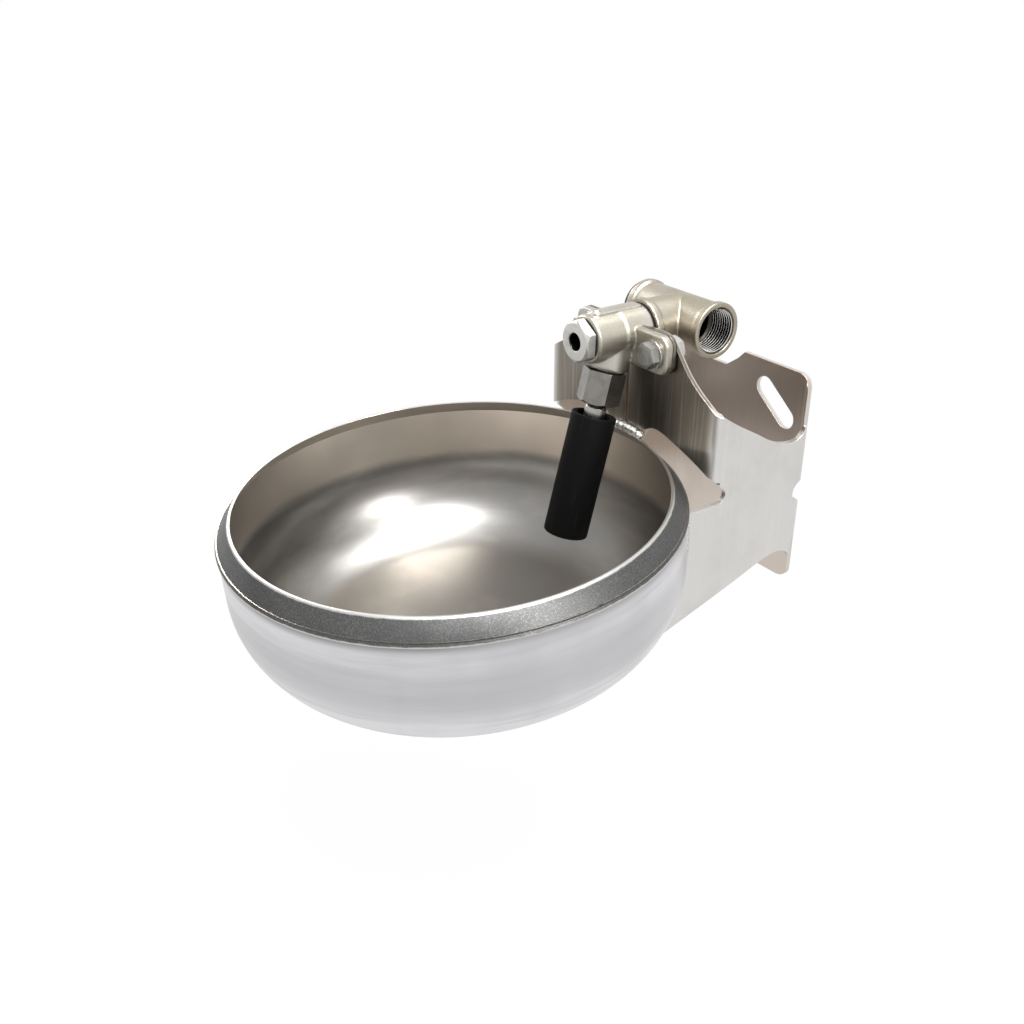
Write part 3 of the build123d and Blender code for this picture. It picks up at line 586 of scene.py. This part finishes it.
def eased(bm, size, angle=28.0, segments=2):
    """Takes the sharpness off every edge that turns more than an angle."""
    edges = [edge for edge in bm.edges
             if len(edge.link_faces) == 2 and edge.calc_face_angle(0) > math.radians(angle)]
    bmesh.ops.bevel(bm, geom=edges, offset=size * MM, offset_type="OFFSET", affect="EDGES", segments=segments,
                    profile=0.5, material=-1, clamp_overlap=False)
    return bm


def joined(*shapes):
    """Several bmeshes as one."""
    bm = bmesh.new()
    for shape in shapes:
        mesh = bpy.data.meshes.new("part")
        shape.to_mesh(mesh)
        shape.free()
        bm.from_mesh(mesh)
        bpy.data.meshes.remove(mesh)
    return bm


def moved(bm, place):
    bmesh.ops.transform(bm, matrix=place, verts=bm.verts)
    return bm


def finished(bm, name, body, materials, stands_for=(), weighted=False):
    """The piece itself: smooth faces, sharp edges kept, riding on its body in its slot's finish."""
    for face in bm.faces:
        face.smooth = True
    for edge in bm.edges:
        edge.smooth = len(edge.link_faces) != 2 or edge.calc_face_angle(0) < SHARP
    mesh = bpy.data.meshes.new(name)
    bm.to_mesh(mesh)
    bm.free()
    for material in materials if isinstance(materials, list) else [materials]:
        mesh.materials.append(material)
    piece = bpy.data.objects.new(name, mesh)
    bpy.context.scene.collection.objects.link(piece)
    if weighted:
        normals = piece.modifiers.new("even_normals", "WEIGHTED_NORMAL")
        normals.keep_sharp = True
    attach(piece, body)
    if stands_for:
        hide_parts(*stands_for)
    return piece


def softened(bm, voxel, smoothing):
    """A casting's skin: the shape remeshed in small cells and smoothed, which rounds its edges."""
    mesh = bpy.data.meshes.new("skin")
    bm.to_mesh(mesh)
    bm.free()
    block = bpy.data.objects.new("skin", mesh)
    bpy.context.scene.collection.objects.link(block)
    cells = block.modifiers.new("cells", "REMESH")
    cells.mode = "VOXEL"
    cells.voxel_size = voxel * MM
    ease = block.modifiers.new("ease", "SMOOTH")
    ease.factor = 0.5
    ease.iterations = smoothing
    bpy.context.view_layer.update()
    skin = bpy.data.meshes.new_from_object(block.evaluated_get(bpy.context.evaluated_depsgraph_get()))
    made = bmesh.new()
    made.from_mesh(skin)
    bpy.data.objects.remove(block)
    bpy.data.meshes.remove(mesh)
    bpy.data.meshes.remove(skin)
    return made


def bead(points, radius, flatness=0.7, spacing=0.55, seed=1.0):
    """A weld bead: overlapping lumps along points in millimetres, run together into one skin."""
    lumps = bmesh.new()
    lengths = [(Vector(b) - Vector(a)).length for a, b in zip(points, points[1:])]
    count = max(3, int(sum(lengths) / (radius * spacing)))
    for i in range(count):
        left = sum(lengths) * i / (count - 1)
        for (start, end), length in zip(zip(points, points[1:]), lengths):
            if left <= length + SAME_POINT:
                break
            left -= length
        place = Vector(start).lerp(Vector(end), left / length)
        wave = math.sin(seed + i * 2.4) * 0.16 + math.sin(seed * 3 + i * 5.1) * 0.08
        lump = Matrix.Translation((place + Vector((0, 0, wave * 1.2))) * MM)
        lump = lump @ Matrix.Diagonal((1.0, 1.0, flatness, 1.0))
        bmesh.ops.create_icosphere(lumps, subdivisions=3, radius=radius * (1 + wave) * MM, matrix=lump)
    return softened(lumps, voxel=0.32, smoothing=2)


# ---------------------------------------------------------------- what a user would change


def colour_property(name, description, default):
    return FloatVectorProperty(name=name, description=description, default=default, subtype="COLOR", size=3,
                               min=0.0, max=1.0)


def rough_property(default):
    return FloatProperty(name="Roughness", description="How matt the surface is", default=default,
                         subtype="FACTOR", min=0.0, max=1.0)


class BowlSettings(bpy.types.PropertyGroup):
    steps: IntProperty(name="Steps", description="Facets round the bowl", default=240, min=48, max=360)
    # The dish colour is darkened as painted shade, and the inner wall colour is a painted warm reflection.
    inner: colour_property("Dish colour", "Steel in the bottom of the bowl", (0.24, 0.234, 0.225))
    wall: colour_property("Inner wall colour", "Steel of the wall inside the bowl", (0.68, 0.615, 0.535))
    outer: colour_property("Outside colour", "Steel seen outside the bowl", (0.68, 0.67, 0.685))
    rough: rough_property(0.31)


class BandSettings(bpy.types.PropertyGroup):
    steps: IntProperty(name="Steps", description="Facets round the rim band", default=240, min=48, max=360)
    colour: colour_property("Colour", "Ground face of the band", (0.085, 0.085, 0.084))
    # The edge colour is a painted highlight, and the inner face colour is a painted reflection.
    edge: colour_property("Edge colour", "Rubbed edges of the band", (0.64, 0.63, 0.61))
    inner: colour_property("Inner face colour", "Face of the band inside the bowl", (0.62, 0.56, 0.49))
    rough: rough_property(0.44)


class SheetSettings(bpy.types.PropertyGroup):
    edge_size: FloatProperty(name="Edge rounding", description="Rounding of the cut edges, in millimetres",
                             default=0.28, min=0.05, max=0.6)
    outer: colour_property("Outside colour", "Steel seen outside the bracket", (0.65, 0.635, 0.62))
    # The inside colour is browner as painted shade, and the front colour is painted shade on the wings.
    inner: colour_property("Inside colour", "Steel seen inside the bracket", (0.60, 0.53, 0.47))
    wing_shade: colour_property("Front colour", "Steel of the two front wings", (0.20, 0.18, 0.15))
    rough: rough_property(0.34)


class CastSettings(bpy.types.PropertyGroup):
    cell: FloatProperty(name="Cell size", description="Cells of the casting's skin, in millimetres",
                        default=0.45, min=0.3, max=1.5)
    colour: colour_property("Housing colour", "Blasted casting of the housing", (0.44, 0.425, 0.385))
    tee: colour_property("Tee colour", "Blasted casting of the tee", (0.37, 0.338, 0.282))
    rough: rough_property(0.40)


class FittingSettings(bpy.types.PropertyGroup):
    bright: colour_property("Bright colour", "Turned fittings and fixings", (0.60, 0.59, 0.56))
    dark: colour_property("Nut colour", "Machined union nut", (0.25, 0.24, 0.22))
    rough: rough_property(0.28)
    weld: colour_property("Weld colour", "Weld metal", (0.72, 0.71, 0.69))


class RubberSettings(bpy.types.PropertyGroup):
    colour: colour_property("Colour", "Sleeve rubber", (0.0025, 0.0025, 0.0025))
    rough: rough_property(0.58)


SETTINGS = {"bowl_settings": BowlSettings, "band_settings": BandSettings, "sheet_settings": SheetSettings,
            "cast_settings": CastSettings, "fitting_settings": FittingSettings,
            "rubber_settings": RubberSettings}


# ---------------------------------------------------------------- pieces


class DRINKER_OT_bowl(bpy.types.Operator):
    """Spin the bowl from its profile, one steel inside and another outside"""

    bl_idname = "drinker.bowl"
    bl_label = "Bowl"

    def execute(self, context):
        look = context.scene.bowl_settings
        outer, inner = (arc((0, dish_centre), DISH_R - inset, -90, dish_turn, 14)
                        + arc(CORNER_AT, CORNER_R - inset, dish_turn, 0, 22)[1:] for inset in (0, SHEET))
        top = [WALL_TOP, (WALL_TOP[0] - SHEET, WALL_TOP[1])]
        bm = turned(outer + top + inner[::-1], look.steps, closed=False)
        for face in bm.faces:
            middle = face.calc_center_median()
            outward = Vector((middle.x, middle.y, 0)).normalized() - Vector((0, 0, 1))
            face.material_index = int(face.normal.dot(outward) > 0)
        dish = dish_steel(look.inner, look.wall, look.rough)
        shell = shell_steel(look.outer, look.rough + 0.03)
        finished(moved(bm, BOWL), "spun_bowl", "base", [dish, shell], ["bowl"])
        return {"FINISHED"}


class DRINKER_OT_band(bpy.types.Operator):
    """Spin the rim band, with its top edge and its lower corners rounded"""

    bl_idname = "drinker.band"
    bl_label = "Rim band"

    def execute(self, context):
        look = context.scene.band_settings
        foot = RIM_LOW[1] - 0.9
        profile = [(RIM_TOP_R, 0), RIM_LOW, (RIM_LOW[0] - 0.3, foot), (WALL_TOP[0], foot),
                   WALL_TOP, (WALL_TOP[0] - SHEET, WALL_TOP[1]), (RIM_TOP_R - 1.7, 0)]
        bm = turned(profile, look.steps, [((0, 6), 0.45), ((1,), 0.4), ((2,), 0.25)])
        steel = band_steel(look.colour, look.edge, look.inner, look.rough)
        finished(moved(bm, BOWL), "rim_band", "base", steel, ["rim_ring"])
        return {"FINISHED"}


class DRINKER_OT_bracket(bpy.types.Operator):
    """Ease the cut edges of the folded bracket and of the flange's spacer plate"""

    bl_idname = "drinker.bracket"
    bl_label = "Bracket"

    def execute(self, context):
        look = context.scene.sheet_settings
        steel = sheet_steel(look.outer, look.inner, look.wing_shade, look.rough)
        bm = eased(copied("bracket", merge=3e-5), look.edge_size)
        finished(bm, "folded_bracket", "base", steel, ["bracket"], weighted=True)
        spacer = eased(copied("flange_spacer"), look.edge_size)
        finished(spacer, "spacer_plate", "base", steel, ["flange_spacer"], weighted=True)
        return {"FINISHED"}


class DRINKER_OT_welds(bpy.types.Operator):
    """Lay the weld beads at the rim and down the bracket's arms"""

    bl_idname = "drinker.welds"
    bl_label = "Welds"

    def execute(self, context):
        look = context.scene.fitting_settings
        steel = weld_steel(look.weld, rough=0.30)
        route = [(-9, -76, 27.2), (-4, -75.7, 28.2), (1.5, -75.6, 28.4), (7, -75.6, 28.6),
                 (14.5, -75.8, 27.4)]
        rear = bead(route, 2.7, flatness=0.85)
        finished(rear, "rear_bead", "base", steel, ["rear_weld"])
        sides = []
        for side in (1, -1):
            x = side * (HALF_WIDTH + 1.0)
            drops = (-21, -28, -35, -42, -49, -55, -61, -67)
            local = [Vector((x, math.sqrt((bowl_radius(d) + 0.4) ** 2 - x**2), d)) for d in drops]
            points = [(BOWL @ (point * MM)) / MM for point in local]
            sides.append(bead(points, 1.4, flatness=0.9, spacing=0.6, seed=2.0 + side))
        finished(joined(*sides), "side_beads", "base", steel, ["side_welds"])
        return {"FINISHED"}


class DRINKER_OT_housing(bpy.types.Operator):
    """Round the edges of the cast valve housing and of the cast tee"""

    bl_idname = "drinker.housing"
    bl_label = "Valve housing and tee"

    def execute(self, context):
        look = context.scene.cast_settings
        steel = cast_steel(look.colour, look.rough)
        skin = softened(copied("valve_housing"), look.cell, smoothing=5)
        finished(skin, "cast_housing", "base", steel, ["valve_housing"])
        duller = cast_steel(look.tee, look.rough)
        tee = softened(copied("tee"), look.cell, smoothing=5)
        finished(tee, "cast_tee", "base", duller, ["tee"])
        return {"FINISHED"}


class DRINKER_OT_threads(bpy.types.Operator):
    """Wind the pipe thread inside the tee's open end"""

    bl_idname = "drinker.threads"
    bl_label = "Pipe thread"

    def execute(self, context):
        look = context.scene.fitting_settings
        # Crest colour made paler as a painted highlight, flank colour made darker as painted shade.
        steel = thread_steel(tinted(look.bright, 1.25), tinted(look.bright, 0.13), rough=0.2)
        wind = ridge(THREAD_ROOT_R, THREAD_CREST_R, THREAD_PITCH, THREAD_LONG / THREAD_PITCH, steps=64,
                     flat=0.2)
        moved(wind, TEE @ at(0, 0, TEE_MOUTH - THREAD_LONG))
        finished(wind, "inlet_thread", "base", steel)
        return {"FINISHED"}


class DRINKER_OT_fixings(bpy.types.Operator):
    """Make the flange's bolts, washers and nuts"""

    bl_idname = "drinker.fixings"
    bl_label = "Flange fixings"

    def execute(self, context):
        look = context.scene.fitting_settings
        low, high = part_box("flange_bolts")
        head_y, tip_y = low.y / MM, high.y / MM
        washer_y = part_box("flange_washers")[0].y / MM
        nut_low, nut_high = (corner.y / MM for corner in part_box("flange_nuts"))
        forged, nuts = [], []
        for side in (1, -1):
            place = HOUSING @ at(side * BOLT_AT[0], BOLT_AT[1], 0)
            twist = turn(14 * side, "Z")
            head = moved(hex_block(BOLT_AF, washer_y - head_y, top_cut=False), twist)
            dish = turned([(0, 0.45), (3.3, 0.45), (4.3, -0.05), (5.0, 0.0), (5.6, 0.4), (0, 0.4)], 48)
            shank_end = nut_low - washer_y + 1
            length = tip_y - washer_y
            shank = turned([(0, 1), (BOLT_R, 1), (BOLT_R, shank_end), (3.35, shank_end + 0.6),
                            (3.35, length - 0.7), (2.9, length), (0, length)], 40, closed=False)
            turns = (length - shank_end - 1.6) / BOLT_PITCH
            screw = ridge(BOLT_CORE_R, BOLT_CREST_R, BOLT_PITCH, turns)
            moved(screw, at(0, 0, shank_end + 0.8))
            bolt = joined(moved(head, at(0, 0, head_y)), moved(dish, at(0, 0, head_y)),
                          moved(shank, at(0, 0, washer_y)), moved(screw, at(0, 0, washer_y)))
            forged.append(moved(bolt, place))
            nut = moved(hex_block(BOLT_AF, nut_high - nut_low, bore=NUT_BORE_R), twist)
            nuts.append(moved(nut, place @ at(0, 0, nut_low)))
        rough = machined_steel("forged_bolt_steel", HOUSING, tinted(look.bright, 0.52), rough=0.34,
                               grain_strength=0.8)
        finished(joined(*forged), "flange_bolts_forged", "base", rough, ["flange_bolts"])
        clean = machined_steel("plain_nut_steel", HOUSING, look.bright, look.rough, grain_strength=0.1)
        finished(joined(*nuts), "flange_nuts_milled", "base", clean, ["flange_nuts"])
        washers = eased(copied("flange_washers"), 0.2)
        finished(washers, "flange_washers_stamped", "base", clean, ["flange_washers"],
                 weighted=True)
        return {"FINISHED"}


class DRINKER_OT_plugs(bpy.types.Operator):
    """Finish the front plug and the tee's blanking plug"""

    bl_idname = "drinker.plugs"
    bl_label = "Plugs"

    def execute(self, context):
        look = context.scene.fitting_settings
        # The plug's hole gets painted shade through bore=5.2.
        steel = machined_steel("turned_plug_steel", HOUSING, look.bright, look.rough + 0.04,
                               grain_strength=0.12, bore=5.2)
        plug = eased(copied("front_plug"), 0.22)
        finished(plug, "front_plug_turned", "base", steel, ["front_plug"], weighted=True)
        cap = eased(copied("tee_plug"), 0.3)
        plastic = moulded_plastic("black_cap_plastic", (0.018, 0.018, 0.019), rough=0.42)
        finished(cap, "tee_cap", "base", plastic, ["tee_plug"], weighted=True)
        return {"FINISHED"}


class DRINKER_OT_union(bpy.types.Operator):
    """Ease the edges of the union nut and of the tube under it"""

    bl_idname = "drinker.union"
    bl_label = "Union nut and tube"

    def execute(self, context):
        look = context.scene.fitting_settings
        steel = machined_steel("milled_nut_steel", SPOUT, look.dark, look.rough + 0.02, grain_strength=0.08)
        nut = eased(copied("union_nut"), 0.22)
        finished(nut, "union_nut_milled", "base", steel, ["union_nut"], weighted=True)
        bright = machined_steel("turned_tube_steel", SPOUT, tinted(look.dark, 1.7), look.rough)
        tube = eased(copied("tube"), 0.15)
        finished(tube, "tube_turned", "spout", bright, ["tube"], weighted=True)
        return {"FINISHED"}


class DRINKER_OT_sleeve(bpy.types.Operator):
    """Mould the rubber sleeve that the animal pushes"""

    bl_idname = "drinker.sleeve"
    bl_label = "Rubber sleeve"

    def execute(self, context):
        look = context.scene.rubber_settings
        top, end, outer, bore = -47.3, -120.3, 13.0, 10.0
        profile = [(bore, top), (outer, top), (outer, end), (bore, end)]
        bm = turned(profile, 120, [((0, 1), 0.7), ((2, 3), 1.1)])
        rubber = black_rubber("sleeve_rubber_black", SPOUT, look.colour, look.rough)
        finished(moved(bm, SPOUT), "rubber_sleeve", "spout", rubber, ["sleeve"])
        return {"FINISHED"}


class DRINKER_OT_inner_parts(bpy.types.Operator):
    """Finish the seals and the other inner pieces, with the spring given a mesh of its own"""

    bl_idname = "drinker.inner_parts"
    bl_label = "Inner parts"

    def execute(self, context):
        look = context.scene.fitting_settings
        seal = black_rubber("seal_rubber_black", HOUSING, (0.012, 0.012, 0.012), rough=0.45)
        steel = machined_steel("inner_turned_steel", SPOUT, look.bright, look.rough)
        # The flow screw is made near black as painted shade, since it sits in the shaded bore.
        shaded_brass = machined_steel("brass_painted_dark", HOUSING, (0.03, 0.025, 0.018), rough=0.5)
        pale = moulded_plastic("natural_plastic", (0.78, 0.77, 0.73), rough=0.4)
        coil = finished(copied("valve_spring"), "valve_spring_coil", "base", steel,
                        ["valve_spring"])
        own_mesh(coil)
        finishes = {"flange_gasket": seal, "tee_seal": seal, "tee_plug_seal": seal, "front_seal": seal,
                    "stem_seal": seal, "nut_seal": seal, "flow_screw": shaded_brass, "valve_seat": pale,
                    "swivel_ring": pale, "valve_stem": steel, "strainer": steel}
        for node, material in finishes.items():
            slots = nodes[node].data.materials
            slots.clear()
            slots.append(material)
        return {"FINISHED"}


class DRINKER_OT_stage(bpy.types.Operator):
    """Set the floor, the lamps, the world and the camera"""

    bl_idname = "drinker.stage"
    bl_label = "Stage"

    def execute(self, context):
        scene = context.scene
        scene.view_settings.view_transform = "Standard"
        floor = bpy.data.meshes.new("floor")
        bm = bmesh.new()
        bmesh.ops.create_grid(bm, x_segments=1, y_segments=1, size=FLOOR_HALF)
        moved(bm, Matrix.Translation((0, 0, cad_low.z - FLOOR_DROP)))
        bm.to_mesh(floor)
        bm.free()
        ground = bpy.data.objects.new("floor", floor)
        scene.collection.objects.link(ground)
        floor.materials.append(self.backdrop())
        scene.world = self.world()
        for name, values in LAMPS.items():
            self.lamp(scene, name, *values)
        self.camera(scene)
        return {"FINISHED"}

    def backdrop(self):
        """White where the camera or a reflection meets it, with the object's shadow kept faintly."""
        f = Finish("white_floor")
        away = f.node("ShaderNodeVectorMath", {"operation": "LENGTH"}, {0: f.here}, "Value")
        share = (1.0 - FLOOR_SHADOW) + away.above(*SHADOW_REACH) * FLOOR_SHADOW
        plain = f.node("ShaderNodeBsdfDiffuse", None, {"Color": solid((0.86, 0.86, 0.86))})
        white = f.node("ShaderNodeEmission", None, {"Color": solid((1, 1, 1)), "Strength": 1.0})
        blend = f.node("ShaderNodeMixShader", None, {0: f.looked_at() * share, 1: plain, 2: white})
        f.node("ShaderNodeOutputMaterial", None, {"Surface": blend})
        return f.owner

    def world(self):
        """White to the camera and in reflections, plainer as a light."""
        f = Finish("studio_white", "worlds")
        level = SKY_LIGHT + f.looked_at() * (1.0 - SKY_LIGHT)
        light = f.node("ShaderNodeBackground", None, {"Color": solid((1, 1, 1)), "Strength": level})
        f.node("ShaderNodeOutputWorld", None, {"Surface": light})
        return f.owner

    def lamp(self, scene, name, place, size, power):
        """A round soft lamp that faces the bowl."""
        data = bpy.data.lights.new(name, "AREA")
        data.shape = "DISK"
        data.size = size
        data.energy = power
        lamp = bpy.data.objects.new(name, data)
        lamp.location = place
        lamp.rotation_euler = (TARGET - Vector(place)).to_track_quat("-Z", "Y").to_euler()
        scene.collection.objects.link(lamp)

    def camera(self, scene):
        """The viewing angle: 55 degrees round to +X, 27 degrees above the rim's plane."""
        azimuth, elevation = math.radians(55.149), math.radians(27.051)
        back = Vector((math.sin(azimuth) * math.cos(elevation), -math.cos(azimuth) * math.cos(elevation),
                       math.sin(elevation)))
        right = Vector((math.cos(azimuth), math.sin(azimuth), 0))
        up = back.cross(right)
        away, aside, below = 0.6052, 0.0326, 0.0111
        place = BOWL.to_translation() + back * away + right * aside - up * below
        data = bpy.data.cameras.new("camera")
        data.lens = 39.83
        data.sensor_width = 36.0
        data.clip_start = 0.01
        camera = bpy.data.objects.new("camera", data)
        camera.matrix_world = Matrix.Translation(place) @ Matrix((right, up, back)).transposed().to_4x4()
        scene.collection.objects.link(camera)
        scene.camera = camera


OPERATORS = (DRINKER_OT_bowl, DRINKER_OT_band, DRINKER_OT_bracket, DRINKER_OT_welds, DRINKER_OT_housing,
             DRINKER_OT_threads, DRINKER_OT_fixings, DRINKER_OT_plugs, DRINKER_OT_union, DRINKER_OT_sleeve,
             DRINKER_OT_inner_parts, DRINKER_OT_stage)


class DRINKER_PT_panel(bpy.types.Panel):
    """Every piece's sizes, colours and button"""

    bl_label = "Drinking bowl"
    bl_idname = "DRINKER_PT_panel"
    bl_space_type = "VIEW_3D"
    bl_region_type = "UI"
    bl_category = "Drinking bowl"

    def draw(self, context):
        for name, group in SETTINGS.items():
            box = self.layout.box()
            for field in group.__annotations__:
                box.prop(getattr(context.scene, name), field)
        for operator in OPERATORS:
            self.layout.operator(operator.bl_idname)


def register():
    for name, group in SETTINGS.items():
        bpy.utils.register_class(group)
        setattr(bpy.types.Scene, name, PointerProperty(type=group))
    for item in (*OPERATORS, DRINKER_PT_panel):
        bpy.utils.register_class(item)


def unregister():
    for item in (DRINKER_PT_panel, *reversed(OPERATORS)):
        bpy.utils.unregister_class(item)
    for name, group in SETTINGS.items():
        delattr(bpy.types.Scene, name)
        bpy.utils.unregister_class(group)


def main():
    register()
    for operator in OPERATORS:
        group, call = operator.bl_idname.split(".")
        getattr(getattr(bpy.ops, group), call)()


if __name__ == "__main__":
    main()
